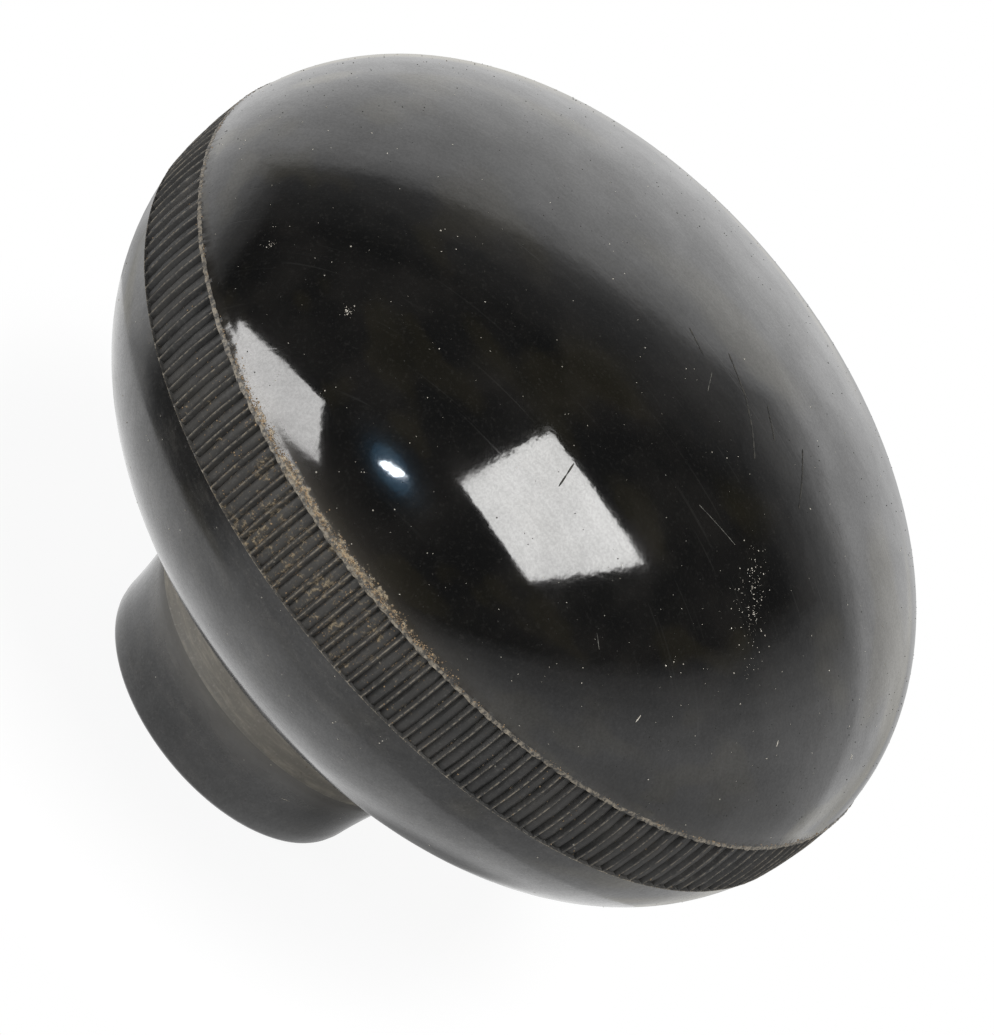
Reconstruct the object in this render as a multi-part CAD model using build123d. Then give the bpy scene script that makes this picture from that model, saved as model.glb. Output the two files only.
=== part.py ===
from build123d import *
import math
import os

# Ball handle: a flattened ball on a short flared neck, moulded in one piece round a brass bush.
# Millimetres. Z is the turning axis, dome up, and z = 0 is the end face of the neck.

# Ball: a dome above its widest line, and a bowl below it that meets the neck.
ball_diameter = 50.0
dome_rise = 15.0
dome_fullness = 0.055  # how far the section stands out of a true ellipse; 0 is an ellipse
bowl_drop = 15.0
bowl_fullness = 0.095

# Neck: flares gently up to a small step, then a sunk strip sweeps out into the bowl.
neck_length = 8.5  # from the end face to the bowl's lowest level on the axis
neck_end_diameter = 18.0
neck_edge_radius = 0.5
neck_flare = 0.9  # extra radius at the step
neck_flare_belly = 0.12  # how far the flare's middle sinks in from a straight cone
strip_width = 3.0  # from the step up to the bowl's lowest level
strip_depth = 0.15
strip_fillet_radius = 3.0

# Grip band: straight flutes between narrow ridges, round the widest part.
band_above = 1.9  # from the widest line to the band's dome edge
band_below = 2.3
rib_count = 156
rib_top_width = 0.2
flute_depth = 0.28
flute_wall_run = 0.12  # sideways run of each sloping flute wall

# Threaded bush, moulded into the neck and open at its end face.
bush_diameter = 13.0
bush_length = 16.5
bush_corner = 0.6
bush_groove_width = 3.0
bush_groove_depth = 0.8
bush_notch_count = 24
bush_notch_depth = 0.35
thread_core_diameter = 8.5  # tapping size for an M10 coarse thread
thread_depth = 13.5
drill_point_angle = 118.0
mouth_chamfer = 0.9

# Worked out from the sizes above.
ball_radius = ball_diameter / 2
widest_height = neck_length + bowl_drop
neck_end_radius = neck_end_diameter / 2
step_radius = neck_end_radius + neck_flare
step_height = neck_length - strip_width
strip_radius = step_radius - strip_depth
band_low = widest_height - band_below
band_high = widest_height + band_above
bush_radius = bush_diameter / 2
core_radius = thread_core_diameter / 2


def section_point(angle, rise, fullness):
    """Point of a rounded half section: angle 0 is the widest line, 90 the pole."""
    across = math.cos(angle) * (1 + fullness * math.sin(angle) ** 2)
    along = math.sin(angle) * (1 + fullness * math.cos(angle) ** 2)
    return ball_radius * across, rise * along


def section_curve(rise, fullness):
    """Smooth curve from the widest line to the pole; a negative rise goes down."""
    steps = 12
    points = []
    for step in range(steps + 1):
        across, along = section_point(math.pi / 2 * step / steps, rise, fullness)
        points.append((across, widest_height + along))
    points[-1] = (0, widest_height + rise)
    return Spline(points, tangents=[(0, math.copysign(1, rise)), (-1, 0)])


def bowl_height_at(radius):
    """Height of the bowl's surface at a radius, found by halving the angle range."""
    low, high = 0.0, math.pi / 2
    close_enough = 1e-6  # radians
    while high - low > close_enough:
        middle = (low + high) / 2
        if section_point(middle, bowl_drop, bowl_fullness)[0] > radius:
            low = middle
        else:
            high = middle
    return widest_height - section_point(low, bowl_drop, bowl_fullness)[1]


def ball_section():
    dome = section_curve(dome_rise, dome_fullness)
    bowl = section_curve(-bowl_drop, bowl_fullness)
    axis_line = Line(dome @ 1, bowl @ 1)
    return make_face([dome, bowl, axis_line])


def neck_section():
    """Half section of the neck, carried up inside the ball to its widest line."""
    end = (neck_end_radius, 0)
    step = (step_radius, step_height)
    belly = ((end[0] + step[0]) / 2 - neck_flare_belly, step_height / 2)
    flare = ThreePointArc(end, belly, step)
    inside = Polyline(step, (strip_radius, step_height), (strip_radius, widest_height),
                      (0, widest_height), (0, 0), end)
    face = make_face([flare, inside])
    edge = face.vertices().sort_by_distance((neck_end_radius, 0))[0]
    return fillet(edge, neck_edge_radius)


def body_section():
    """Ball and neck joined, with the strip swept out into the bowl."""
    face = (ball_section() + neck_section()).face()
    corner_height = bowl_height_at(strip_radius)
    corner = face.vertices().sort_by_distance((strip_radius, corner_height))[0]
    strip_wall = corner_height - step_height
    return fillet(corner, min(strip_fillet_radius, strip_wall))


def flute_cutter():
    """One flute: flat floor, sloping walls, run out past the ball's surface."""
    pitch = 2 * math.pi * ball_radius / rib_count
    half_mouth = (pitch - rib_top_width) / 2
    half_floor = half_mouth - flute_wall_run
    outside = flute_depth  # the cutter's walls go on this far past the surface
    half_outer = half_mouth + flute_wall_run * outside / flute_depth
    floor_radius = ball_radius - flute_depth
    outline = Polyline((floor_radius, -half_floor), (ball_radius + outside, -half_outer),
                       (ball_radius + outside, half_outer), (floor_radius, half_floor), close=True)
    return Pos(0, 0, band_low) * extrude(make_face(outline), band_high - band_low)


def bush_form():
    """Outside of the bush, with its holding groove and its straight notches."""
    groove_low = (bush_length - bush_groove_width) / 2
    groove_high = groove_low + bush_groove_width
    groove_radius = bush_radius - bush_groove_depth
    outline = Polyline((0, 0), (bush_radius, 0), (bush_radius, groove_low),
                       (groove_radius, groove_low), (groove_radius, groove_high),
                       (bush_radius, groove_high), (bush_radius, bush_length - bush_corner),
                       (bush_radius - bush_corner, bush_length), (0, bush_length), close=True)
    form = revolve(Plane.XZ * make_face(outline), Axis.Z)
    notch_side = bush_notch_depth * math.sqrt(2)
    notch = Rot(0, 0, 45) * Box(notch_side, notch_side, bush_length,
                                align=(Align.CENTER, Align.CENTER, Align.MIN))
    # The notches start half way to the groove, so the ring at the end face is plain.
    notches = PolarLocations(bush_radius, bush_notch_count) * (Pos(0, 0, groove_low / 2) * notch)
    return form - notches


def bore_form():
    """Tapped hole: chamfered mouth, straight wall and a drill point."""
    point_length = core_radius / math.tan(math.radians(drill_point_angle / 2))
    outline = Polyline((0, 0), (core_radius + mouth_chamfer, 0), (core_radius, mouth_chamfer),
                       (core_radius, thread_depth), (0, thread_depth + point_length), close=True)
    return revolve(Plane.XZ * make_face(outline), Axis.Z)


def knob_body():
    turned = revolve(Plane.XZ * body_section(), Axis.Z)
    flutes = PolarLocations(0, rib_count) * flute_cutter()
    return turned - flutes - bush_form()


def threaded_bush():
    return bush_form() - bore_form()


os.makedirs("parts", exist_ok=True)
for name, shape in (("knob_body", knob_body()), ("threaded_bush", threaded_bush())):
    export_step(shape, f"parts/{name}.step")
    print(name, round(shape.volume / 1000, 3), "cm3")
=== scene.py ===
import math
import random
import bmesh
import bpy
from mathutils import Matrix, Vector, noise


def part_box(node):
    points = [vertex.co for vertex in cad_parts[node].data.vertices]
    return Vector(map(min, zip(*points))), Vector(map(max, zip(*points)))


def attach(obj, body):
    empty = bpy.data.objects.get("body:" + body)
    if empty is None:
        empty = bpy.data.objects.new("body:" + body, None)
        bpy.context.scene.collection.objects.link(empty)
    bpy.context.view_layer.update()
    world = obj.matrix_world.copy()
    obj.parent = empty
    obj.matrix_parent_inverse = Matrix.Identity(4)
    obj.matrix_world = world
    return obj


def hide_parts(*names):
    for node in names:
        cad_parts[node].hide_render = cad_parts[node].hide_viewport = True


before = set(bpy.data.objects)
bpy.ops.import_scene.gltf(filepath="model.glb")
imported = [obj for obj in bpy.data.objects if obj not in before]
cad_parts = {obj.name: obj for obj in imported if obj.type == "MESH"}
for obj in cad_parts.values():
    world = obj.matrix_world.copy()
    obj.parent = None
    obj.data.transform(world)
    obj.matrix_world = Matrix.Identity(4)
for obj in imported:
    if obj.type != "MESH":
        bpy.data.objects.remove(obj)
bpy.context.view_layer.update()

mm = 0.001
fullTurn = 2 * math.pi
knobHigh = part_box("knob_body")[1]
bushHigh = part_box("threaded_bush")[1]


# ball: sizes in mm, heights from the neck's end face
ball = {
    "radius": 25.0,
    "widestHeight": 23.5,
    "domeFullness": 0.055,  # how far the section stands out of a true ellipse
    "bowlDrop": 15.0,
    "bowlFullness": 0.095,
    "turnSteps": 312,
    "domeRows": 44,
    "bowlRows": 26,
}
ball["domeRise"] = knobHigh[2] / mm - ball["widestHeight"]


def sectionPoint(angle, rise, fullness):
    across = math.cos(angle) * (1 + fullness * math.sin(angle) ** 2)
    along = math.sin(angle) * (1 + fullness * math.cos(angle) ** 2)
    return ball["radius"] * across, ball["widestHeight"] + rise * along


def halving(isLow, low, high):
    # the place between low and high where isLow stops being true
    for turn in range(40):
        middle = (low + high) / 2
        if isLow(middle):
            low = middle
        else:
            high = middle
    return low


def domePoint(angle):
    return sectionPoint(angle, ball["domeRise"], ball["domeFullness"])


def bowlPoint(angle):
    return sectionPoint(angle, -ball["bowlDrop"], ball["bowlFullness"])


def angleAtHeight(height):
    if height > ball["widestHeight"]:
        return halving(lambda angle: domePoint(angle)[1] < height, 0, math.pi / 2)
    return halving(lambda angle: bowlPoint(angle)[1] > height, 0, math.pi / 2)


def radiusAtHeight(height):
    if height > ball["widestHeight"]:
        return domePoint(angleAtHeight(height))[0]
    return bowlPoint(angleAtHeight(height))[0]


# neck: the flare up to a small step, the sunk strip and its sweep into the bowl, in mm
neck = {
    "endRadius": 9.0,
    "edgeRadius": 0.5,
    "flare": 0.9,
    "belly": 0.12,
    "stepHeight": 5.5,
    "stripDepth": 0.15,
    "stripTop": 9.4,
    "sweepRadius": 3.0,
    "pocketGap": 0.02,  # keeps the pocket's wall off the bush's skin
}


def sweepIntoBowl():
    # the circle that touches both the strip's wall and the bowl
    stripRadius = neck["endRadius"] + neck["flare"] - neck["stripDepth"]
    sweep = neck["sweepRadius"]

    def centreFrom(angle):
        small = 0.001
        here = Vector(bowlPoint(angle))
        ahead = Vector(bowlPoint(angle + small)) - here
        outward = Vector((-ahead.y, ahead.x)).normalized()
        if outward.y > 0:
            outward = -outward
        return here + outward * sweep, outward

    touch = halving(lambda angle: centreFrom(angle)[0].x > stripRadius + sweep, 0.3, math.pi / 2 - 0.01)
    centre, outward = centreFrom(touch)
    endTurn = math.atan2(-outward.y, -outward.x)
    steps = 8
    points = []
    for step in range(1, steps + 1):
        turn = endTurn + (math.pi - endTurn) * step / steps
        points.append((centre.x + sweep * math.cos(turn), centre.y + sweep * math.sin(turn)))
    return touch, points


def neckSection():
    # from the strip's foot down the flare, round the rim and up into the pocket
    stepRadius = neck["endRadius"] + neck["flare"]
    points = [(stepRadius - neck["stripDepth"], neck["stepHeight"] + 0.3),
              (stepRadius - 0.03, neck["stepHeight"] + 0.06)]
    rows = 8
    for row in range(rows):
        share = 1 - row / rows
        height = neck["stepHeight"] * share
        if height > neck["edgeRadius"] * 1.2:
            bulge = 4 * neck["belly"] * share * (1 - share)
            points.append((neck["endRadius"] + neck["flare"] * share - bulge, height - 0.04 * share))
    edge = neck["edgeRadius"]
    for step in range(6):
        turn = math.pi / 2 * step / 5
        points.append((neck["endRadius"] - edge + edge * math.cos(turn), edge - edge * math.sin(turn)))
    pocket = bushHigh[0] / mm + neck["pocketGap"]
    top = bushHigh[2] / mm + neck["pocketGap"]
    points += [(pocket + 0.9, 0), (pocket + 0.08, 0), (pocket, 0.08), (pocket, top / 2), (pocket, top),
               (0, top)]
    return points


# band: straight flutes between narrow ridges, with the moulding's ragged flash above them, in mm
band = {
    "above": 1.9,
    "below": 2.3,
    "ribs": 156,
    "columns": 8,  # round one flute and its ridge
    "ribTop": 0.15,
    "depth": 0.19,
    "wallRun": 0.11,
    "ridgeWear": 0.05,
    "crestRadius": 24.96,
    "straight": 0.35,  # how far the ridges stand straight up rather than follow the ball's curve
    "knocks": 0.035,  # how deep the dents along the ridges go
    "floorWaves": 0.05,
    "cornerDepth": 0.3,
    "flashWidth": 0.34,
    "flashHeight": 0.06,
    "flashGrain": 5.2,  # bumps per mm along the flash
    "reach": 24.985,  # nothing stands out farther than this from the axis
    "rimStep": 0.03,
    "rimWidth": 0.16,
    "rimHeight": 0.012,
}
bandLow = ball["widestHeight"] - band["below"]
bandHigh = ball["widestHeight"] + band["above"]
pitchAngle = fullTurn / band["ribs"]
pitchLength = pitchAngle * ball["radius"]


def ragged(angle, height, grain, seed):
    # -1 to 1, the same all the way round
    spot = Vector((math.cos(angle), math.sin(angle), height / ball["radius"])) * ball["radius"] * grain
    return noise.noise(spot + Vector((seed * 17.3, seed * 5.1, seed * 9.7)))


def crestAt(height):
    curved = radiusAtHeight(height)
    return curved + (band["crestRadius"] - curved) * band["straight"]


def fluteShape():
    # offset from the flute's middle and depth, for each column of one pitch
    mouth = (pitchLength - band["ribTop"]) / 2
    floor = mouth - band["wallRun"]
    worn = band["ridgeWear"]
    depth = band["depth"]
    corner = band["cornerDepth"]
    return [(0, depth * 0.94), (floor / 2, depth), (floor, corner), (mouth, worn), (pitchLength / 2, 0),
            (pitchLength - mouth, worn), (pitchLength - floor, corner), (pitchLength - floor / 2, depth)]


def bandRows():
    # heights from the top down, and what the skin does at each
    flash = band["flashWidth"]
    rows = [(bandHigh + flash, "plain"), (bandHigh + flash * 0.65, "flash"),
            (bandHigh + flash * 0.3, "flash"), (bandHigh, "flash"), (bandHigh - 0.05, "flute")]
    between = 6
    for row in range(1, between):
        rows.append((bandHigh - 0.05 - (bandHigh - bandLow - 0.1) * row / between, "flute"))
    rows += [(bandLow + 0.05, "flute"), (bandLow, "rim"), (bandLow - band["rimStep"], "rim"),
             (bandLow - band["rimWidth"], "plain")]
    return rows


def turnSection(bm, points, steps):
    verts = [bm.verts.new((radius * mm, 0, height * mm)) for radius, height in points]
    edges = [bm.edges.new(pair) for pair in zip(verts, verts[1:])]
    bmesh.ops.spin(bm, geom=verts + edges, cent=(0, 0, 0), axis=(0, 0, 1), dvec=(0, 0, 0), angle=fullTurn,
                   steps=steps, use_merge=True, use_normal_flip=False, use_duplicate=False)


def cutFlutes(bm):
    # moves the band's plain skin into flutes, ridges, flash and rim
    rows = bandRows()
    shape = fluteShape()
    columnAngle = pitchAngle / band["columns"]
    for vert in bm.verts:
        angle = math.atan2(vert.co.y, vert.co.x)
        height = vert.co.z / mm
        row = min(range(len(rows)), key=lambda index: abs(rows[index][0] - height))
        column = round(angle / columnAngle)
        radius = radiusAtHeight(height)
        crest = crestAt(height)
        if rows[row][1] == "flute":
            offset, depth = shape[column % band["columns"]]
            angle = (column // band["columns"]) * pitchAngle + offset / ball["radius"]
            if depth < band["depth"] / 2:
                depth += band["knocks"] * max(0, ragged(angle, height, 1.7, 3) - 0.12)
            else:
                depth += band["floorWaves"] * ragged(angle, height, 1.6, 4)
            radius = crest - depth
        elif rows[row][1] == "flash":
            share = max(0, (height - bandHigh) / band["flashWidth"])
            crumbs = ragged(angle, height, band["flashGrain"], 1)
            bump = 0.3 + 0.8 * crumbs + 0.4 * ragged(angle, height, 1.1, 2)
            stands = band["flashHeight"] * max(-0.5, bump) * (1 - share * 0.6)
            radius = crest + (radius - crest) * share ** 1.3 + stands
            height += 0.08 * ragged(angle, 0, 3.1, 5 + row)
        elif rows[row][1] == "rim":
            share = 0 if height > bandLow - band["rimStep"] / 2 else 0.9
            radius = crest + (radius - crest) * share + band["rimHeight"] * ragged(angle, height, 2.3, 6)
        radius = min(radius, band["reach"])
        vert.co = (radius * mm * math.cos(angle), radius * mm * math.sin(angle), height * mm)


def ringEdges(bm, height):
    return [edge for edge in bm.edges if all(abs(vert.co.z / mm - height) < 0.001 for vert in edge.verts)]


def joinDenser(bm, height):
    # divides a plain part's last ring so that it meets the band's finer one point for point
    finer = band["ribs"] * band["columns"] // ball["turnSteps"]
    bmesh.ops.subdivide_edges(bm, edges=ringEdges(bm, height), cuts=finer - 1, use_grid_fill=False,
                              use_single_edge=True)


def makeKnobShell():
    rows = bandRows()
    topRing, lowRing = rows[0][0], rows[-1][0]

    dome = bmesh.new()
    topAngle = angleAtHeight(topRing)
    rowShare = [(index / ball["domeRows"]) ** 0.9 for index in range(ball["domeRows"] + 1)]
    points = [domePoint(math.pi / 2 + (topAngle - math.pi / 2) * share) for share in rowShare]
    points[0] = (0, knobHigh[2] / mm)
    points[-1] = (radiusAtHeight(topRing), topRing)
    turnSection(dome, points, ball["turnSteps"])
    joinDenser(dome, topRing)

    grip = bmesh.new()
    points = [(radiusAtHeight(height), height) for height, kind in rows]
    turnSection(grip, points, band["ribs"] * band["columns"])
    cutFlutes(grip)

    lower = bmesh.new()
    lowAngle = angleAtHeight(lowRing)
    touch, sweep = sweepIntoBowl()
    points = [bowlPoint(lowAngle + (touch - lowAngle) * index / ball["bowlRows"])
              for index in range(ball["bowlRows"] + 1)]
    points[0] = (radiusAtHeight(lowRing), lowRing)
    turnSection(lower, points + sweep + neckSection(), ball["turnSteps"])
    joinDenser(lower, lowRing)

    whole = bmesh.new()
    for part in (dome, grip, lower):
        scratch = bpy.data.meshes.new("scratch")
        part.to_mesh(scratch)
        whole.from_mesh(scratch)
        part.free()
        bpy.data.meshes.remove(scratch)
    bmesh.ops.remove_doubles(whole, verts=whole.verts, dist=0.004 * mm)
    bmesh.ops.recalc_face_normals(whole, faces=whole.faces)
    return finishPiece(whole, "knobShell", 32)


def finishPiece(bm, name, sharpDegrees):
    mesh = bpy.data.meshes.new(name)
    bm.to_mesh(mesh)
    bm.free()
    mesh.shade_smooth()
    mesh.set_sharp_from_angle(angle=math.radians(sharpDegrees))
    piece = bpy.data.objects.new(name, mesh)
    bpy.context.scene.collection.objects.link(piece)
    return piece


# skin: which finish each part of the shell takes, by height and radius in mm
skin = {"dome": 0, "band": 1, "bowl": 2, "strip": 3}


def heavyShare(angle):
    # 1 where the dust is thickest along the band, about 0 elsewhere
    azimuth = math.degrees(math.atan2(math.cos(angle), -math.sin(angle)))
    middle = (dirt["heavyFrom"] + dirt["heavyTo"]) / 2
    half = (dirt["heavyTo"] - dirt["heavyFrom"]) / 2
    away = abs((azimuth - middle + 180) % 360 - 180)
    fade = dirt["heavyFade"]
    return max(0, min(1, (half + fade / 2 - away) / fade))


def markCrestsAndDust(shell):
    # two values a vertex that the finishes read: ridge tops, which the band paints with dust and a painted
    # highlight, and where dust has settled
    crest = shell.data.attributes.new("crest", "FLOAT", "POINT")
    settled = shell.data.attributes.new("settled", "FLOAT", "POINT")
    flashTop = bandHigh + band["flashWidth"]
    for vert in shell.data.vertices:
        height = vert.co.z / mm
        radius = math.hypot(vert.co.x, vert.co.y) / mm
        angle = math.atan2(vert.co.y, vert.co.x)
        if height > bandHigh + 6:
            value = 0
        elif height > flashTop:
            above = height - flashTop
            heavy = heavyShare(angle)
            value = math.exp(-above / 0.6) * heavy + 0.7 * math.exp(-above / 0.2) * (1 - heavy)
        elif height > bandLow - band["rimStep"] / 2:
            crest.data[vert.index].value = max(0, min(1, 1 - (crestAt(height) - radius) / band["depth"]))
            value = 0.2 + 0.8 * heavyShare(angle)
        elif radius < 14:
            value = max(0, 1 - abs(height - 6.6) / 3.4) * (0.7 + 0.3 * math.cos(angle + math.radians(50)))
        else:
            value = 0
        settled.data[vert.index].value = value


def paintRegions(shell):
    for face in shell.data.polygons:
        height = face.center.z / mm
        radius = math.hypot(face.center.x, face.center.y) / mm
        if height > bandHigh + band["flashWidth"] * 0.8:
            face.material_index = skin["dome"]
        elif height > bandLow - band["rimStep"]:
            face.material_index = skin["band"]
        elif neck["stepHeight"] < height < neck["stripTop"] and 9.5 < radius < 12.6:
            face.material_index = skin["strip"]
        else:
            face.material_index = skin["bowl"]


# bush: turned brass with a right-hand M10 coarse thread, in mm
bush = {
    "threadRadius": 5.0,
    "crestRadius": 4.25,
    "pitch": 1.5,
    "threadDepth": 13.5,
    "threadStart": 0.75,
    "boreDepth": 14.2,
    "mouthChamfer": 0.9,
    "edge": 0.12,
    "turnSteps": 96,
    "faceDrop": 0.02,
    "notches": 24,
    "notchDepth": 0.35,
    "notchStart": 3.375,
    "groove": (6.75, 9.75),
    "grooveDepth": 0.8,
    "corner": 0.6,
    "drillPointAngle": 118,
}


def makeBush():
    outer = bushHigh[0] / mm
    top = bushHigh[2] / mm
    bore = bush["threadRadius"]
    mouth = bush["crestRadius"] + bush["mouthChamfer"]
    groove = outer - bush["grooveDepth"]
    grooveLow, grooveHigh = bush["groove"]
    corner = bush["corner"]
    edge = bush["edge"]
    drop = bush["faceDrop"]
    drillPoint = bush["boreDepth"] + bore / math.tan(math.radians(bush["drillPointAngle"] / 2))
    points = [(0, drillPoint), (bore, bush["boreDepth"]), (bore, mouth - bore + drop), (mouth, drop),
              (outer - edge, drop), (outer, edge + drop), (outer, bush["notchStart"] - 0.01),
              (outer, bush["notchStart"]), (outer, grooveLow), (groove, grooveLow), (groove, grooveHigh),
              (outer, grooveHigh), (outer, top - corner), (outer - corner, top), (0, top)]
    bm = bmesh.new()
    turnSection(bm, points, bush["turnSteps"])
    bmesh.ops.remove_doubles(bm, verts=bm.verts, dist=0.001 * mm)
    # straight notches above the plain ring, which keep the bush from turning in the moulding
    apart = bush["turnSteps"] // bush["notches"]
    for vert in bm.verts:
        column = round(math.atan2(vert.co.y, vert.co.x) / fullTurn * bush["turnSteps"])
        onWall = math.hypot(vert.co.x, vert.co.y) / mm > outer - 0.01
        if onWall and column % apart == 0 and vert.co.z / mm > bush["notchStart"] - 0.005:
            inwards = 1 - bush["notchDepth"] / outer
            vert.co.x *= inwards
            vert.co.y *= inwards
    bmesh.ops.recalc_face_normals(bm, faces=bm.faces)
    return finishPiece(bm, "threadedBush", 30)


def makeThread():
    # a ridge of triangular section wound up the bore, thinning out at both ends
    bore, crest, pitch = bush["threadRadius"], bush["crestRadius"], bush["pitch"]
    root = bore + 0.03
    turns = (bush["threadDepth"] - 0.8) / pitch - 1
    start = bush["threadStart"]
    half = pitch / 2 - 0.02
    flat = pitch / 16
    section = [(root, -half), (crest, -flat), (crest, flat), (root, half)]
    bm = bmesh.new()
    verts = [bm.verts.new((radius * mm, 0, (start + height) * mm)) for radius, height in section]
    face = bm.faces.new(verts)
    steps = round(turns * bush["turnSteps"])
    rise = pitch * mm / bush["turnSteps"]
    bmesh.ops.spin(bm, geom=[face] + face.edges[:] + verts, cent=(0, 0, 0), axis=(0, 0, 1), dvec=(0, 0, rise),
                   angle=fullTurn * turns, steps=steps, use_merge=False, use_normal_flip=False,
                   use_duplicate=False)
    runOut = 0.6 * pitch
    low, high = start - half, start + turns * pitch + half
    for vert in bm.verts:
        radius = math.hypot(vert.co.x, vert.co.y) / mm
        height = vert.co.z / mm
        nearEnd = min(height - low, high - height) / runOut
        if nearEnd < 1 and radius < bore:
            wanted = bore + (radius - bore) * max(0.05, nearEnd)
            vert.co.x *= wanted / radius
            vert.co.y *= wanted / radius
    bmesh.ops.recalc_face_normals(bm, faces=bm.faces)
    return finishPiece(bm, "bushThread", 25)


# dirt: loose grains, their sizes in mm, and the sector they lie thickest in, in degrees from the -Y side
dirt = {
    "seed": 11,
    "flashGrains": 2600,
    "heavyFrom": -30,
    "heavyTo": 10,
    "heavyFade": 24,
    "heavyShare": 0.5,
    "fluteGrains": 2000,
    "skinGrains": 700,
    "darkGrains": 1100,
    "smallest": 0.016,
    "largest": 0.05,
    "heavySpread": 0.2,  # how far grains stray up the dome, in the thick sector and out of it
    "lightSpread": 0.08,
    "cornerShare": 0.5,
    "domeShare": 0.7,
    "skinSmallest": 0.012,
    "domeLargest": 0.034,
    "bowlLargest": 0.046,
    "darkLargest": 0.036,
}


def surfaceSpot(azimuth, height, lift=0.0):
    # a point on the plain section and its outward normal, in metres
    radius = radiusAtHeight(height)
    slope = (radiusAtHeight(height + 0.05) - radiusAtHeight(height - 0.05)) / 0.1
    turn = math.radians(azimuth)
    outward = Vector((math.sin(turn), -math.cos(turn), -slope)).normalized()
    spot = Vector((math.sin(turn) * radius, -math.cos(turn) * radius, height)) + outward * lift
    return spot * mm, outward


def addGrain(bm, spot, outward, size, rng):
    reach = (band["reach"] - 1.5 * size) * mm
    out = math.hypot(spot.x, spot.y)
    if out > reach:
        spot = Vector((spot.x * reach / out, spot.y * reach / out, spot.z))
    squash = Vector((rng.uniform(0.7, 1.5), rng.uniform(0.7, 1.5), rng.uniform(0.5, 0.9)))
    facing = outward.to_track_quat("Z", "Y").to_matrix().to_4x4()
    turn = facing @ Matrix.Rotation(rng.uniform(0, fullTurn), 4, "Z")
    place = Matrix.Translation(spot) @ turn @ Matrix.Diagonal(squash * size * mm).to_4x4()
    bmesh.ops.create_icosphere(bm, subdivisions=1, radius=1, matrix=place)


def pickAzimuth(rng):
    if rng.random() < dirt["heavyShare"]:
        return rng.uniform(dirt["heavyFrom"], dirt["heavyTo"]) + rng.gauss(0, 4)
    return rng.uniform(-180, 180)


def grainSize(rng):
    return dirt["smallest"] + (dirt["largest"] - dirt["smallest"]) * rng.random() ** 2.2


def makeDirt():
    rng = random.Random(dirt["seed"])
    bm = bmesh.new()
    for index in range(dirt["flashGrains"]):
        azimuth = pickAzimuth(rng)
        heavy = dirt["heavyFrom"] - 6 < azimuth < dirt["heavyTo"] + 4
        spread = dirt["heavySpread"] if heavy else dirt["lightSpread"]
        height = bandHigh + band["flashWidth"] * 0.4 + abs(rng.gauss(0, spread))
        if height > bandHigh + 0.02:
            share = max(0, 1 - (height - bandHigh) / band["flashWidth"])
            lift = (crestAt(height) - radiusAtHeight(height)) * share
            spot, outward = surfaceSpot(azimuth, height, lift)
            addGrain(bm, spot, outward, grainSize(rng), rng)
    flutes = fluteShape()
    for index in range(dirt["fluteGrains"]):
        azimuth = pickAzimuth(rng)
        height = bandHigh - (bandHigh - bandLow) * rng.random() ** 1.3
        # most lie in a flute's corner, against the ridge
        inCorner = rng.random() < dirt["cornerShare"]
        offset, depth = flutes[2 if inCorner else rng.choice((0, 1, 4, 6, 7))]
        flute = math.floor(math.radians(azimuth - 90) / pitchAngle)
        turn = flute * pitchAngle + offset / ball["radius"]
        outward = Vector((math.cos(turn), math.sin(turn), 0))
        spot = outward * (crestAt(height) - depth) * mm
        spot.z = height * mm
        addGrain(bm, spot, outward, grainSize(rng), rng)
    return finishPiece(bm, "caughtDirt", 180)


def makeSpecks():
    # pale dust lying on the dome, the bowl and the neck
    rng = random.Random(dirt["seed"] + 1)
    bm = bmesh.new()
    top = knobHigh[2] / mm
    for index in range(dirt["skinGrains"]):
        if rng.random() < dirt["domeShare"]:
            height = rng.uniform(bandHigh + 0.6, top - 0.25)
        else:
            height = rng.uniform(11.5, bandLow - 0.3)
        spot, outward = surfaceSpot(rng.uniform(-180, 180), height)
        largest = dirt["domeLargest"] if height > bandHigh else dirt["bowlLargest"]
        addGrain(bm, spot, outward, rng.uniform(dirt["skinSmallest"], largest), rng)
    for azimuth, height, count, spread in marks["clusters"]:
        for index in range(count):
            where = azimuth + rng.gauss(0, spread * 3)
            spot, outward = surfaceSpot(where, min(top - 0.2, height + rng.gauss(0, spread)))
            addGrain(bm, spot, outward, 0.01 + 0.03 * rng.random() ** 2, rng)
    return finishPiece(bm, "paleDust", 180)


def makeDarkDust():
    # darker grains, seen where the polish mirrors something bright
    rng = random.Random(dirt["seed"] + 2)
    bm = bmesh.new()
    for index in range(dirt["darkGrains"]):
        height = rng.uniform(bandHigh + 0.6, knobHigh[2] / mm - 0.4)
        spot, outward = surfaceSpot(rng.uniform(-180, 180), height)
        addGrain(bm, spot, outward, rng.uniform(dirt["skinSmallest"], dirt["darkLargest"]), rng)
    return finishPiece(bm, "darkDust", 180)


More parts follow.
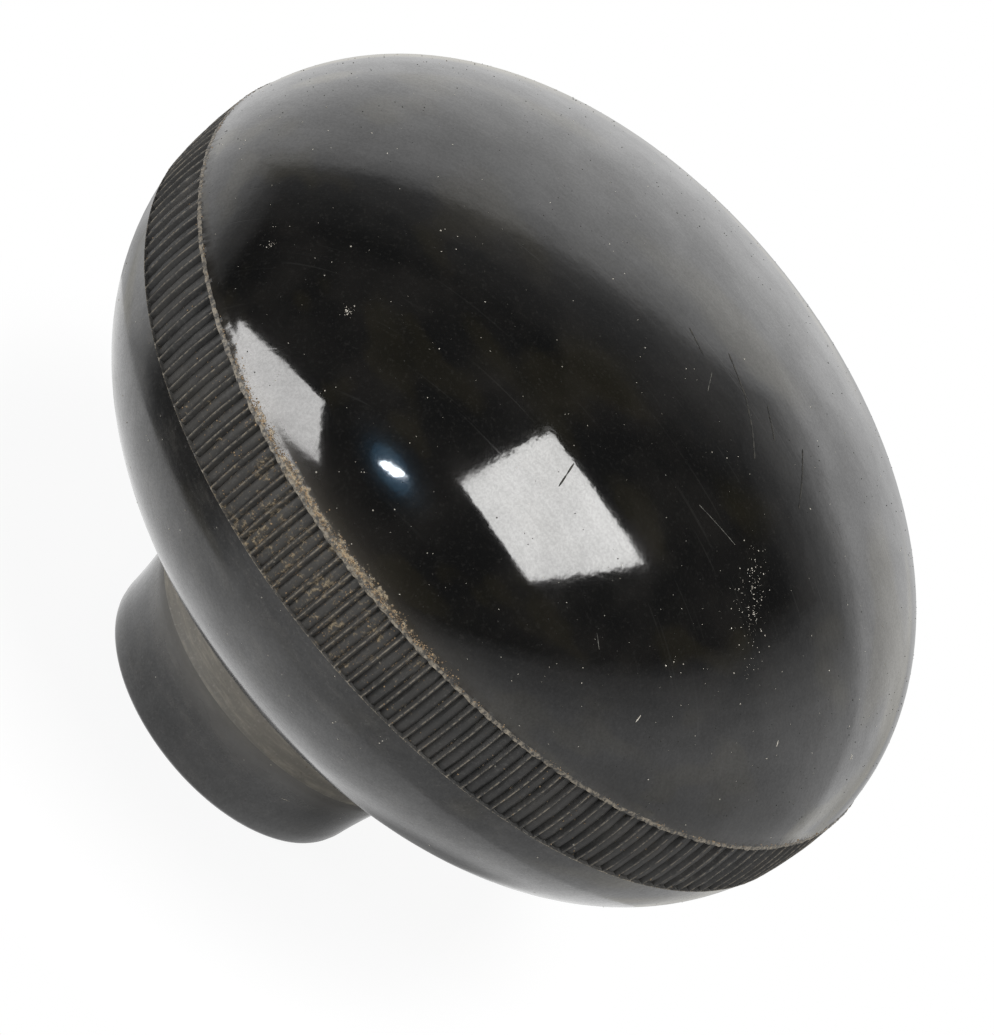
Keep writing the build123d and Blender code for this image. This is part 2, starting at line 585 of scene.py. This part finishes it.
# marks: azimuth from the -Y side in degrees, height in mm
marks = {
    "clusters": [(46, 35.0, 170, 0.7), (48, 33.2, 16, 0.4), (-32, 31.2, 26, 0.13), (-45.8, 29.0, 18, 0.12),
                 (37, 33, 26, 2)],
    "chipThickness": 0.036,
    "lintThickness": 0.02,
    "hairThickness": 0.055,
    # strands lie on the dome; each runs through points given by x and y in mm, seen from above
    "chips": {
        "low": [(13.1, -19.3), (13.0, -19.1)],
        "side": [(18.9, -11.9), (18.7, -11.8)],
        "far": [(22.3, -5.0), (22.2, -4.8)],
    },
    "lint": {
        "longest": [(6.8, -12.3), (9.5, -11.4)],
        "crown": [(2.1, -5.2), (2.7, -6.6)],
        "edge": [(8.4, -20.2), (9.1, -20.3)],
    },
    "hairs": {
        "scratch": [(1.6, -18.6), (1.2, -17.3)],
        "shortHair": [(-0.4, -4.2), (1.1, -4.8)],
        "longHair": [(1.9, -2.6), (4.2, -3.9), (5.7, -5.2), (6.9, -6.5)],
        "besideIt": [(5.3, -2.5), (6.9, -3.9)],
        "farHair": [(8.2, -1.7), (9.4, -3.5), (10.4, -5.2)],
    },
    "neckFibre": {"azimuth": 36, "height": 3.6, "length": 0.5, "lean": 10},
}


def domeSpot(x, y):
    # the point of the dome above x and y
    radius = math.hypot(x, y)
    angle = halving(lambda turn: domePoint(turn)[0] > radius, 0, math.pi / 2)
    return Vector((x, y, domePoint(angle)[1])) * mm


def addStrand(bm, start, end, outward, thickness):
    along = (end - start).normalized()
    across = outward.cross(along).normalized()
    turn = Matrix((along, across, along.cross(across))).transposed().to_4x4()
    thin = thickness * mm
    size = Vector(((end - start).length / 2 * 1.1, thin, thin * 0.6))
    place = Matrix.Translation((start + end) / 2) @ turn @ Matrix.Diagonal(size).to_4x4()
    bmesh.ops.create_icosphere(bm, subdivisions=2, radius=1, matrix=place)


def makeStrands(name, strands, thickness, fibre=None):
    # lint, chips and hairs that follow the dome, and a fibre caught on the neck
    bm = bmesh.new()
    for points in strands.values():
        for start, end in zip(points, points[1:]):
            run = Vector(end) - Vector(start)
            steps = max(1, round(run.length / 0.6))
            spots = [domeSpot(*(Vector(start) + run * step / steps)) for step in range(steps + 1)]
            for here, ahead in zip(spots, spots[1:]):
                outward = Vector((here.x, here.y, 2 * (here.z - ball["widestHeight"] * mm))).normalized()
                addStrand(bm, here, ahead, outward, thickness)
    if fibre:
        turn = math.radians(fibre["azimuth"])
        lean = math.radians(fibre["lean"])
        outward = Vector((math.sin(turn), -math.cos(turn), 0))
        along = Vector((math.cos(turn), math.sin(turn), 0)) * math.cos(lean) + Vector((0, 0, math.sin(lean)))
        share = fibre["height"] / neck["stepHeight"]
        radius = neck["endRadius"] + neck["flare"] * share - 4 * neck["belly"] * share * (1 - share)
        middle = outward * radius + Vector((0, 0, fibre["height"]))
        half = along * fibre["length"] / 2
        addStrand(bm, (middle - half) * mm, (middle + half) * mm, outward, thickness)
    return finishPiece(bm, name, 180)


def newGroup(name, inputs, outputs=("Mask",)):
    # takes a place and the numbers named in inputs, gives out masks, heights or colours
    group = bpy.data.node_groups.new(name, "ShaderNodeTree")
    addSocket = group.interface.new_socket
    addSocket(name="Vector", in_out="INPUT", socket_type="NodeSocketVector")
    for label, value in inputs.items():
        addSocket(name=label, in_out="INPUT", socket_type="NodeSocketFloat").default_value = value
    for label in outputs:
        kind = "NodeSocketColor" if label == "Color" else "NodeSocketFloat"
        addSocket(name=label, in_out="OUTPUT", socket_type=kind)
    return group, group.nodes.new("NodeGroupInput").outputs, group.nodes.new("NodeGroupOutput").inputs


def addNode(tree, kind, values=(), **settings):
    # values are (socket, value) pairs; a value that is a socket is linked
    node = tree.nodes.new(kind)
    for key, setting in settings.items():
        setattr(node, key, setting)
    for socket, value in values:
        if isinstance(value, bpy.types.NodeSocket):
            tree.links.new(value, node.inputs[socket])
        else:
            node.inputs[socket].default_value = value
    return node


def mathNode(tree, operation, first, second=0.0, third=0.5, clamp=False):
    values = ((0, first), (1, second), (2, third))
    return addNode(tree, "ShaderNodeMath", values, operation=operation, use_clamp=clamp).outputs[0]


def plus(tree, first, second, clamp=False):
    return mathNode(tree, "ADD", first, second, clamp=clamp)


def times(tree, first, second, clamp=False):
    return mathNode(tree, "MULTIPLY", first, second, clamp=clamp)


def vectorNode(tree, operation, *values):
    return addNode(tree, "ShaderNodeVectorMath", enumerate(values), operation=operation)


def stretchNode(tree, vector, scale, turn=(0, 0, 0)):
    values = (("Vector", vector), ("Rotation", turn), ("Scale", scale))
    return addNode(tree, "ShaderNodeMapping", values).outputs[0]


def addBump(tree, shader, height, distance, strength):
    values = (("Height", height), ("Distance", distance * mm), ("Strength", strength))
    tree.links.new(addNode(tree, "ShaderNodeBump", values).outputs[0], shader.inputs["Normal"])


def spreadNode(tree, value, low, high, toLow=0.0, toHigh=1.0):
    values = (("Value", value), ("From Min", low), ("From Max", high), ("To Min", toLow), ("To Max", toHigh))
    node = addNode(tree, "ShaderNodeMapRange", values, interpolation_type="SMOOTHSTEP")
    return node.outputs["Result"]


def mixColour(tree, share, first, second):
    # 6, 7 and output 2 are the colour sockets of the Mix node
    return addNode(tree, "ShaderNodeMix", ((0, share), (6, first), (7, second)), data_type="RGBA").outputs[2]


def noiseNode(tree, vector, scale, detail=2.0, rough=0.5):
    node = addNode(tree, "ShaderNodeTexNoise", (("Vector", vector), ("Scale", scale), ("Detail", detail),
                                                ("Roughness", rough)))
    return node.outputs["Fac"]


def makeSpeckGroup():
    # small round specks, one to a cell where the cell's own chance allows
    group, entry, leave = newGroup("specks", {"Scale": 400.0, "Size": 0.05, "Share": 0.3})
    cells = addNode(group, "ShaderNodeTexVoronoi", (("Vector", entry["Vector"]),
                                                    ("Scale", entry["Scale"])), feature="F1")
    chance = addNode(group, "ShaderNodeSeparateColor", (("Color", cells.outputs["Color"]),))
    size = times(group, entry["Size"], plus(group, chance.outputs[1], 0.3))
    near = mathNode(group, "DIVIDE", cells.outputs["Distance"], size)
    spot = spreadNode(group, near, 1.0, 0.6)
    kept = mathNode(group, "LESS_THAN", chance.outputs[0], entry["Share"])
    group.links.new(times(group, spot, kept), leave["Mask"])
    return group


def makeHairlineGroup():
    # fine straight rubbing marks in three directions, in patches
    group, entry, leave = newGroup("hairlines", {"Amount": 0.5})
    total = None
    for index, (tilt, length, width, edge) in enumerate(((0.35, 60, 5200, 0.70), (1.25, 90, 6400, 0.715),
                                                         (2.2, 40, 4200, 0.735))):
        turn = (tilt, 0.4 * index, tilt * 1.7)
        turned = stretchNode(group, entry["Vector"], (length, width, length * 2), turn)
        lines = noiseNode(group, turned, 1.0, 1.0)
        patch = noiseNode(group, entry["Vector"], 130.0 + 60 * index, 1.0)
        line = spreadNode(group, lines, edge, edge + 0.04)
        line = times(group, line, spreadNode(group, patch, 0.45, 0.7))
        total = line if total is None else mathNode(group, "MAXIMUM", total, line)
    group.links.new(times(group, total, entry["Amount"]), leave["Mask"])
    return group


grimeDark = (0.06, 0.05, 0.037, 1)
grimeLight = (0.27, 0.215, 0.14, 1)


def makeGrimeGroup():
    # brown dust that settles in patches
    group, entry, leave = newGroup("grime", {"Amount": 0.5, "Scale": 900.0}, ("Mask", "Color", "Height"))
    fine = noiseNode(group, entry["Vector"], entry["Scale"], 4.0, 0.65)
    broadScale = times(group, entry["Scale"], 0.2)
    broad = noiseNode(group, entry["Vector"], broadScale, 2.0)
    both = plus(group, times(group, fine, 0.65), times(group, broad, 0.35))
    edge = mathNode(group, "SUBTRACT", 0.86, times(group, entry["Amount"], 0.5))
    upper = plus(group, edge, 0.12)
    mask = addNode(group, "ShaderNodeMapRange", (("Value", both), ("From Min", edge), ("From Max", upper)),
                   interpolation_type="SMOOTHSTEP").outputs["Result"]
    tint = noiseNode(group, entry["Vector"], 5200.0, 3.0, 0.7)
    colour = mixColour(group, spreadNode(group, tint, 0.42, 0.62), grimeDark, grimeLight)
    group.links.new(mask, leave["Mask"])
    group.links.new(colour, leave["Color"])
    group.links.new(fine, leave["Height"])
    return group


def makeWaveGroup():
    # the slow unevenness of a hand-polished moulding, and a finer orange peel
    group, entry, leave = newGroup("polishWaves", {"Slow": 1.0, "Fine": 1.0}, ("Height",))
    slow = noiseNode(group, entry["Vector"], 90.0, 1.0)
    fine = noiseNode(group, entry["Vector"], 1500.0, 2.0)
    total = plus(group, times(group, slow, entry["Slow"]), times(group, fine, entry["Fine"]))
    group.links.new(total, leave["Height"])
    return group


def makePolishGroup():
    # how much polish is left: fine pits, faint streaks and broad patches
    group, entry, leave = newGroup("wornPolish", {"Amount": 0.6})
    pits = spreadNode(group, noiseNode(group, entry["Vector"], 7000.0, 3.0, 0.75), 0.38, 0.62)
    turned = stretchNode(group, entry["Vector"], (350, 5200, 900), (0.5, 0.3, 0.9))
    streaks = spreadNode(group, noiseNode(group, turned, 1.0, 2.0, 0.6), 0.3, 0.7)
    broad = spreadNode(group, noiseNode(group, entry["Vector"], 330.0, 4.0, 0.6), 0.3, 0.7)
    both = plus(group, times(group, streaks, 0.15), times(group, broad, 0.4))
    total = plus(group, times(group, pits, 0.4), both)
    total = times(group, total, entry["Amount"], clamp=True)
    group.links.new(total, leave["Mask"])
    return group


effects = {}


def useGroup(tree, name, values):
    return addNode(tree, "ShaderNodeGroup", values, node_tree=effects[name])


def newMaterial(name, colour, roughness, metallic=0.0, ior=1.6):
    material = bpy.data.materials.new(name)
    material.use_nodes = True
    tree = material.node_tree
    shader = tree.nodes["Principled BSDF"]
    shader.inputs["Base Color"].default_value = colour
    shader.inputs["Roughness"].default_value = roughness
    shader.inputs["Metallic"].default_value = metallic
    shader.inputs["IOR"].default_value = ior
    place = addNode(tree, "ShaderNodeTexCoord").outputs["Object"]
    return material, tree, shader, place


# resin: the finish of each region of the moulding
resin = {
    "polishedDome": {
        "black": 0.0045, "rough": 0.05, "worn": 0.3, "slow": 0.28, "fine": 0.17,
        "scratches": 0.12, "grime": 0.1, "grimeScale": 2600.0, "settled": 0.9,
        "specks": 0.2, "haze": 0.015, "film": 0.5, "patches": 0.03, "rings": 0.6,
        "filmColour": (0.09, 0.08, 0.066, 1), "coat": 0.5, "crest": 0.0,
    },
    "ribbedBand": {
        "black": 0.016, "rough": 0.5, "worn": 0.6, "slow": 0.1, "fine": 1.1,
        "scratches": 0.1, "grime": 0.34, "grimeScale": 3600.0, "settled": 0.37,
        "specks": 0.5, "haze": 0.075, "film": 0.1, "patches": 0.12, "rings": 1.0,
        "filmColour": (0.09, 0.08, 0.06, 1), "coat": 0.2, "crest": 0.8,
    },
    "satinBowl": {
        "black": 0.006, "rough": 0.1, "worn": 0.9, "slow": 0.45, "fine": 0.1,
        "scratches": 0.16, "grime": 0.3, "grimeScale": 2300.0, "settled": 0.15,
        "specks": 0.6, "haze": 0.045, "film": 0.8, "patches": 0.16, "rings": 3.0,
        "filmColour": (0.15, 0.14, 0.122, 1), "coat": 0.55, "crest": 0.0,
    },
    # the sunk strip: dusty, and its pale base, haze and film also carry painted light, which lightens it in
    # the ball's shade
    "dustyStripWithPaintedLight": {
        "black": 0.05, "rough": 0.5, "worn": 0.8, "slow": 0.2, "fine": 0.5,
        "scratches": 0.1, "grime": 0.34, "grimeScale": 3000.0, "settled": 0.25,
        "specks": 0.4, "haze": 0.26, "film": 0.55, "patches": 0.55, "rings": 7.0,
        "filmColour": (0.36, 0.335, 0.285, 1), "coat": 0.1, "crest": 0.0,
    },
}
paleDustColour = (0.45, 0.42, 0.36, 1)
# ridge tops: partly dust and partly a painted highlight where the ridges catch the light
crestDustAndHighlightColour = (0.25, 0.215, 0.165, 1)


def makeResin(name):
    look = resin[name]
    black = look["black"]
    material, tree, shader, place = newMaterial(name, (black, black, black, 1), look["rough"], ior=1.5)
    marking = useGroup(tree, "hairlines", (("Vector", place), ("Amount", look["scratches"])))
    scratches = marking.outputs["Mask"]
    settled = addNode(tree, "ShaderNodeAttribute", (), attribute_name="settled").outputs["Fac"]
    amount = mathNode(tree, "MULTIPLY_ADD", settled, look["settled"], look["grime"])
    grime = useGroup(tree, "grime", (("Vector", place), ("Amount", amount), ("Scale", look["grimeScale"])))
    small = useGroup(tree, "specks", (("Vector", place), ("Scale", 900.0), ("Size", 0.05),
                                      ("Share", look["specks"]))).outputs["Mask"]
    large = useGroup(tree, "specks", (("Vector", place), ("Scale", 380.0), ("Size", 0.035),
                                      ("Share", look["specks"] * 0.5))).outputs["Mask"]
    specks = mathNode(tree, "MAXIMUM", small, large)
    cloud = spreadNode(tree, noiseNode(tree, place, 260.0, 3.0), 0.35, 0.75)
    base = mixColour(tree, cloud, (black, black, black, 1), (black * 1.9, black * 1.8, black * 1.7, 1))
    haze = look["haze"]
    mist = spreadNode(tree, noiseNode(tree, place, 5200.0, 3.0, 0.7), 0.5, 0.85)
    base = mixColour(tree, mist, base, (haze, haze * 0.97, haze * 0.92, 1))
    rings = stretchNode(tree, place, (1, 1, look["rings"]))
    smears = spreadNode(tree, noiseNode(tree, rings, 420.0, 4.0, 0.6), 0.45, 0.8)
    film = plus(tree, times(tree, settled, look["film"]), times(tree, smears, look["patches"]), clamp=True)
    base = mixColour(tree, film, base, look["filmColour"])
    base = mixColour(tree, times(tree, scratches, 0.5), base, (0.09, 0.09, 0.085, 1))
    base = mixColour(tree, grime.outputs["Mask"], base, grime.outputs["Color"])
    base = mixColour(tree, times(tree, specks, 0.6), base, paleDustColour)
    # the ridge tops are painted lighter: partly dust, partly a painted highlight
    if look["crest"]:
        crest = addNode(tree, "ShaderNodeAttribute", (), attribute_name="crest").outputs["Fac"]
        broken = spreadNode(tree, noiseNode(tree, place, 4200.0, 3.0, 0.7), 0.38, 0.62)
        tops = times(tree, spreadNode(tree, crest, 0.78, 1.0), broken)
        dustAndHighlight = times(tree, tops, look["crest"])
        base = mixColour(tree, dustAndHighlight, base, crestDustAndHighlightColour)
    tree.links.new(base, shader.inputs["Base Color"])
    dirty = mathNode(tree, "MAXIMUM", grime.outputs["Mask"], mathNode(tree, "MAXIMUM", scratches, specks))
    dirty = mathNode(tree, "MAXIMUM", dirty, film)
    patchy = times(tree, cloud, look["worn"] * 0.12)
    rough = plus(tree, plus(tree, patchy, look["rough"]), times(tree, dirty, 0.5), clamp=True)
    tree.links.new(rough, shader.inputs["Roughness"])
    # the polish is worn thin in a fine grain and in broader streaks
    grain = useGroup(tree, "wornPolish", (("Vector", place), ("Amount", look["coat"]))).outputs["Mask"]
    tree.links.new(grain, shader.inputs["Coat Weight"])
    shader.inputs["Coat Roughness"].default_value = look["rough"] * 1.3
    waves = useGroup(tree, "polishWaves", (("Vector", place), ("Slow", look["slow"]), ("Fine", look["fine"])))
    height = plus(tree, waves.outputs["Height"], times(tree, grime.outputs["Mask"], grime.outputs["Height"]))
    height = mathNode(tree, "SUBTRACT", height, times(tree, scratches, 0.4))
    addBump(tree, shader, height, 0.03, 1.0)
    return material


# grains: the darker and the lighter colour of each kind
grainColours = {
    "brownDirt": ((0.08, 0.056, 0.035, 1), (0.3, 0.21, 0.122, 1)),
    "paleDust": ((0.22, 0.20, 0.17, 1), (0.55, 0.52, 0.46, 1)),
    "darkHair": ((0.006, 0.006, 0.006, 1), (0.03, 0.027, 0.022, 1)),
    "dullLint": ((0.035, 0.033, 0.03, 1), (0.13, 0.125, 0.11, 1)),
}


def makeGrainMaterial(name):
    dark, light = grainColours[name]
    material, tree, shader, place = newMaterial(name, dark, 0.75, ior=1.45)
    tint = noiseNode(tree, place, 2600.0, 2.0, 0.7)
    colour = mixColour(tree, spreadNode(tree, tint, 0.3, 0.7), dark, light)
    tree.links.new(colour, shader.inputs["Base Color"])
    addBump(tree, shader, tint, 0.02, 0.6)
    return material


brass = {"clean": (0.78, 0.58, 0.29, 1), "tarnish": (0.30, 0.19, 0.08, 1), "rough": 0.24}


def makeBrass():
    material, tree, shader, place = newMaterial("agedBrass", brass["clean"], brass["rough"], 1.0, 1.5)
    patches = spreadNode(tree, noiseNode(tree, place, 420.0, 5.0, 0.62), 0.42, 0.72)
    grime = useGroup(tree, "grime", (("Vector", place), ("Amount", 0.3)))
    base = mixColour(tree, patches, brass["clean"], brass["tarnish"])
    base = mixColour(tree, grime.outputs["Mask"], base, grime.outputs["Color"])
    tree.links.new(base, shader.inputs["Base Color"])
    tree.links.new(mathNode(tree, "SUBTRACT", 1.0, grime.outputs["Mask"]), shader.inputs["Metallic"])
    # turning marks: fine rings round the axis
    apart = addNode(tree, "ShaderNodeSeparateXYZ", (("Vector", place),))
    squares = [times(tree, apart.outputs[axis], apart.outputs[axis]) for axis in (0, 1)]
    across = mathNode(tree, "SQRT", plus(tree, squares[0], squares[1]))
    rings = addNode(tree, "ShaderNodeCombineXYZ", ((0, times(tree, across, 9000.0)),))
    turned = noiseNode(tree, rings.outputs[0], 1.0, 2.0)
    rough = plus(tree, times(tree, patches, 0.3), brass["rough"], clamp=True)
    tree.links.new(rough, shader.inputs["Roughness"])
    addBump(tree, shader, turned, 0.015, 1.0)
    return material


# view: the camera looks down past the dome, turned so that the knob leans up to the right
view = {
    "target": (0, 0, 22.8),  # mm, on the knob's axis
    "distance": 273.8,
    "fromAxis": 62.5,  # degrees between the knob's axis and the line to the camera
    "roll": 50.8,
    "lens": 177.7,
    "shift": (-0.0185, -0.037),
}


def makeCamera():
    data = bpy.data.cameras.new("studioCamera")
    data.lens = view["lens"]
    data.sensor_width = 36
    data.shift_x, data.shift_y = view["shift"]
    data.clip_start = 0.01
    camera = bpy.data.objects.new("studioCamera", data)
    tilt = Matrix.Rotation(math.radians(view["fromAxis"]), 4, "X")
    turn = tilt @ Matrix.Rotation(math.radians(view["roll"]), 4, "Z")
    back = turn @ Vector((0, 0, 1))
    camera.matrix_world = Matrix.Translation((Vector(view["target"]) + back * view["distance"]) * mm) @ turn
    bpy.context.scene.collection.objects.link(camera)
    bpy.context.scene.camera = camera


# lights: each is seen from the knob in a direction, with its long side along another; sizes at 1 m
lights = {
    "mainWindow": {"towards": (0.141, -0.257, 0.945), "long": (0.07, 0.63, 0.16), "size": (0.448, 0.725),
                   "distance": 0.6, "brightness": 12.0, "colour": (1.0, 0.995, 0.98)},
    "sideWindow": {"towards": (-0.779, -0.627, 0.034), "long": (-0.477, 0.556, -0.68), "size": (0.36, 0.66),
                   "distance": 0.6, "brightness": 9.0, "colour": (1.0, 0.99, 0.98)},
    "flashTube": {"towards": (-0.312, -0.762, 0.568), "long": (0.55, 0.25, 0.6), "size": (0.05, 0.14),
                  "distance": 0.5, "brightness": 50.0, "colour": (0.86, 0.93, 1.0), "shape": "ELLIPSE"},
}


def makeLight(name):
    look = lights[name]
    data = bpy.data.lights.new(name, "AREA")
    data.shape = look.get("shape", "RECTANGLE")
    data.size = look["size"][0] * look["distance"]
    data.size_y = look["size"][1] * look["distance"]
    data.color = look["colour"]
    data.energy = look["brightness"] * math.pi * data.size * data.size_y
    lamp = bpy.data.objects.new(name, data)
    back = Vector(look["towards"]).normalized()
    side = Vector(look["long"]).cross(back).normalized()
    along = back.cross(side)
    turn = Matrix((side, along, back)).transposed().to_4x4()
    lamp.matrix_world = Matrix.Translation(Vector(view["target"]) * mm + back * look["distance"]) @ turn
    bpy.context.scene.collection.objects.link(lamp)


# surroundings: a white table and backdrop round the knob, and the unlit room on the camera's side
surroundings = {
    "tableUp": (-0.70, -0.12, 0.70),
    # brightness by the cosine of the angle from each direction, from its dim end to its bright one
    "table": ((0, 0.66), (0.12, 0.7), (0.17, 0.82), (0.25, 0.94), (0.33, 0.85), (0.375, 0.68), (0.425, 0.5),
              (0.47, 0.33), (0.5, 0.13), (0.53, 0.0)),
    "backdropTo": (-0.44, 0.894, 0.08),
    "backdrop": ((0.75, 0.0), (0.81, 0.08), (0.85, 0.17), (0.872, 0.28), (0.9, 0.92), (0.925, 1.2)),
    "sideCardTo": (-0.8, 0.5, -0.33),
    "sideCard": ((0.88, 0.0), (0.9225, 0.25), (0.94, 0.45), (0.952, 0.72), (0.98, 1.1)),
    "endCardTo": (0.25, 0.95, -0.1),
    "endCard": ((0.79, 0.0), (0.815, 0.03), (0.86, 0.17), (0.885, 0.32), (0.905, 0.45), (0.922, 0.75),
                (0.945, 1.15), (0.97, 1.0)),
    # the shade under the knob's low side, seen in the bowl
    "shadeTo": (-0.6, -0.15, -0.78),
    "shade": ((0.955, 1.0), (0.9775, 0.6), (0.9875, 0.3), (1.0, 0.2)),
    # what grazing looks meet far behind the knob
    "farTo": (0, 0.887, -0.461),
    "far": ((0.9, 1.0), (0.95, 0.85), (0.975, 0.7), (1.0, 0.5)),
    # the dimmer end of the table, low on the right
    "lowEndTo": (0.38, 0.86, -0.33),
    "lowEnd": ((0.983, 1.0), (0.992, 0.85), (0.998, 0.68), (1.0, 0.62)),
    "glowTo": (-0.322, -0.752, 0.573),
    "glow": ((0.984, 0.0), (0.994, 0.08), (0.998, 0.45), (1.0, 2.0)),
    "glowColour": (0.22, 0.55, 0.9),
    "room": (0.011, 0.0115, 0.0125, 1),
    "roomPatch": (0.09, 0.075, 0.03, 1),
    "white": (1, 1, 1, 1),
    "floorRadius": 0.0315,
    "floorDrop": 0.05,  # mm
    "floorColour": (0.09, 0.09, 0.09, 1),
    "floorShine": 0.92,  # the paper's own white, which its rim brings up to 1
    # a painted shadow on the paper near the neck, seen only in the knob's reflections
    "shadedPaper": (0.015, -0.003, 0),
    "shadedReach": (0.003, 0.011),
    "shadedLevel": 0.25,
}


def brightnessCurve(tree, cosine, stops):
    # stops run over 0 to 1, which stands for a cosine of -1 to 1
    share = mathNode(tree, "MULTIPLY_ADD", cosine, 0.5, 0.5)
    curve = addNode(tree, "ShaderNodeValToRGB", ((0, share),))
    ramp = curve.color_ramp
    brightest = max(level for place, level in stops)
    for index, (place, level) in enumerate(stops):
        stop = ramp.elements[index] if index < 2 else ramp.elements.new(place)
        stop.position = place
    for stop, (place, level) in zip(ramp.elements, stops):
        stop.color = (level / brightest,) * 3 + (1,)
    ramp.interpolation = "EASE"
    return times(tree, curve.outputs[0], brightest)


def makeSurroundings():
    world = bpy.data.worlds.new("studio")
    bpy.context.scene.world = world
    world.use_nodes = True
    tree = world.node_tree
    direction = addNode(tree, "ShaderNodeTexCoord").outputs["Generated"]

    def cardNode(name):
        towards = Vector(surroundings["tableUp" if name == "table" else name + "To"]).normalized()
        cosine = vectorNode(tree, "DOT_PRODUCT", direction, towards).outputs["Value"]
        return brightnessCurve(tree, cosine, surroundings[name])

    pale = 0.0
    for name in ("table", "backdrop", "sideCard", "endCard"):
        pale = mathNode(tree, "MAXIMUM", cardNode(name), pale)
    patches = spreadNode(tree, noiseNode(tree, direction, 3.4, 1.0), 0.54, 0.66)
    room = mixColour(tree, patches, surroundings["room"], surroundings["roomPatch"])
    for name in ("shade", "far", "lowEnd"):
        pale = times(tree, pale, cardNode(name))
    lit = addNode(tree, "ShaderNodeCombineColor", ((0, pale), (1, pale), (2, pale)))
    glow = vectorNode(tree, "SCALE", surroundings["glowColour"])
    tree.links.new(cardNode("glow"), glow.inputs["Scale"])
    dim = vectorNode(tree, "ADD", room, glow.outputs[0]).outputs[0]
    seen = vectorNode(tree, "ADD", dim, lit.outputs[0]).outputs[0]
    cameraRay = addNode(tree, "ShaderNodeLightPath").outputs["Is Camera Ray"]
    colour = mixColour(tree, cameraRay, seen, surroundings["white"])
    tree.links.new(colour, tree.nodes["Background"].inputs["Color"])


def makeFloor():
    bm = bmesh.new()
    bmesh.ops.create_circle(bm, cap_ends=True, segments=96, radius=surroundings["floorRadius"])
    bmesh.ops.translate(bm, verts=bm.verts, vec=(0, 0, -surroundings["floorDrop"] * mm))
    floor = finishPiece(bm, "paleFloor", 180)
    material, tree, shader, place = newMaterial("whitePaper", surroundings["floorColour"], 1.0, ior=1.5)
    shader.inputs["Specular IOR Level"].default_value = 0
    shader.inputs["Emission Color"].default_value = (1, 1, 1, 1)
    # the paper's own shade fades out towards its rim, so that it runs into the backdrop
    out = vectorNode(tree, "LENGTH", place).outputs["Value"]
    radius = surroundings["floorRadius"]
    fade = spreadNode(tree, out, radius * 0.6, radius * 0.98)
    base = mixColour(tree, fade, surroundings["floorColour"], (0, 0, 0, 1))
    tree.links.new(base, shader.inputs["Base Color"])
    path = addNode(tree, "ShaderNodeLightPath")
    # painted shadow: glossy rays see the paper darker near the neck's shaded side, so the neck mirrors it
    away = vectorNode(tree, "DISTANCE", place, surroundings["shadedPaper"]).outputs["Value"]
    near, far = surroundings["shadedReach"]
    footShadow = spreadNode(tree, away, near, far, surroundings["shadedLevel"], 1.0)
    mirrored = times(tree, path.outputs["Is Glossy Ray"], footShadow)
    seen = mathNode(tree, "MAXIMUM", path.outputs["Is Camera Ray"],
                    mathNode(tree, "MAXIMUM", mirrored, path.outputs["Is Transmission Ray"]))
    values = (("Value", fade), ("To Min", surroundings["floorShine"]), ("To Max", 1.0))
    shine = addNode(tree, "ShaderNodeMapRange", values).outputs["Result"]
    tree.links.new(times(tree, seen, shine), shader.inputs["Emission Strength"])
    # clear from below, so that the knob's underside can be looked at
    clear = addNode(tree, "ShaderNodeBsdfTransparent")
    below = addNode(tree, "ShaderNodeNewGeometry").outputs["Backfacing"]
    either = addNode(tree, "ShaderNodeMixShader", ((0, below), (1, shader.outputs[0]), (2, clear.outputs[0])))
    tree.links.new(either.outputs[0], tree.nodes["Material Output"].inputs["Surface"])
    floor.data.materials.append(material)


print("camera, lights and surroundings")
makeCamera()
for lightName in lights:
    makeLight(lightName)
makeSurroundings()
makeFloor()

print("finishes")
effects["specks"] = makeSpeckGroup()
effects["hairlines"] = makeHairlineGroup()
effects["grime"] = makeGrimeGroup()
effects["polishWaves"] = makeWaveGroup()
effects["wornPolish"] = makePolishGroup()

print("knob shell")
shell = makeKnobShell()
for region in resin:
    shell.data.materials.append(makeResin(region))
paintRegions(shell)
markCrestsAndDust(shell)
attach(shell, "root")
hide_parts("knob_body")

print("bush and thread")
brassFinish = makeBrass()
bushPiece = makeBush()
threadPiece = makeThread()
for piece in (bushPiece, threadPiece):
    piece.data.materials.append(brassFinish)
    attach(piece, "root")
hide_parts("threaded_bush")

print("dirt and dust")
dirtPiece = makeDirt()
dirtPiece.data.materials.append(makeGrainMaterial("brownDirt"))
speckPiece = makeSpecks()
darkPiece = makeDarkDust()
chipPiece = makeStrands("paleChips", marks["chips"], marks["chipThickness"], marks["neckFibre"])
lintPiece = makeStrands("dullLint", marks["lint"], marks["lintThickness"])
lintPiece.data.materials.append(makeGrainMaterial("dullLint"))
hairPiece = makeStrands("darkHairs", marks["hairs"], marks["hairThickness"])
darkFinish = makeGrainMaterial("darkHair")
for piece in (darkPiece, hairPiece):
    piece.data.materials.append(darkFinish)
paleFinish = makeGrainMaterial("paleDust")
for piece in (speckPiece, chipPiece):
    piece.data.materials.append(paleFinish)
for piece in (dirtPiece, speckPiece, darkPiece, chipPiece, lintPiece, hairPiece):
    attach(piece, "root")

bpy.context.scene.view_settings.view_transform = "Standard"
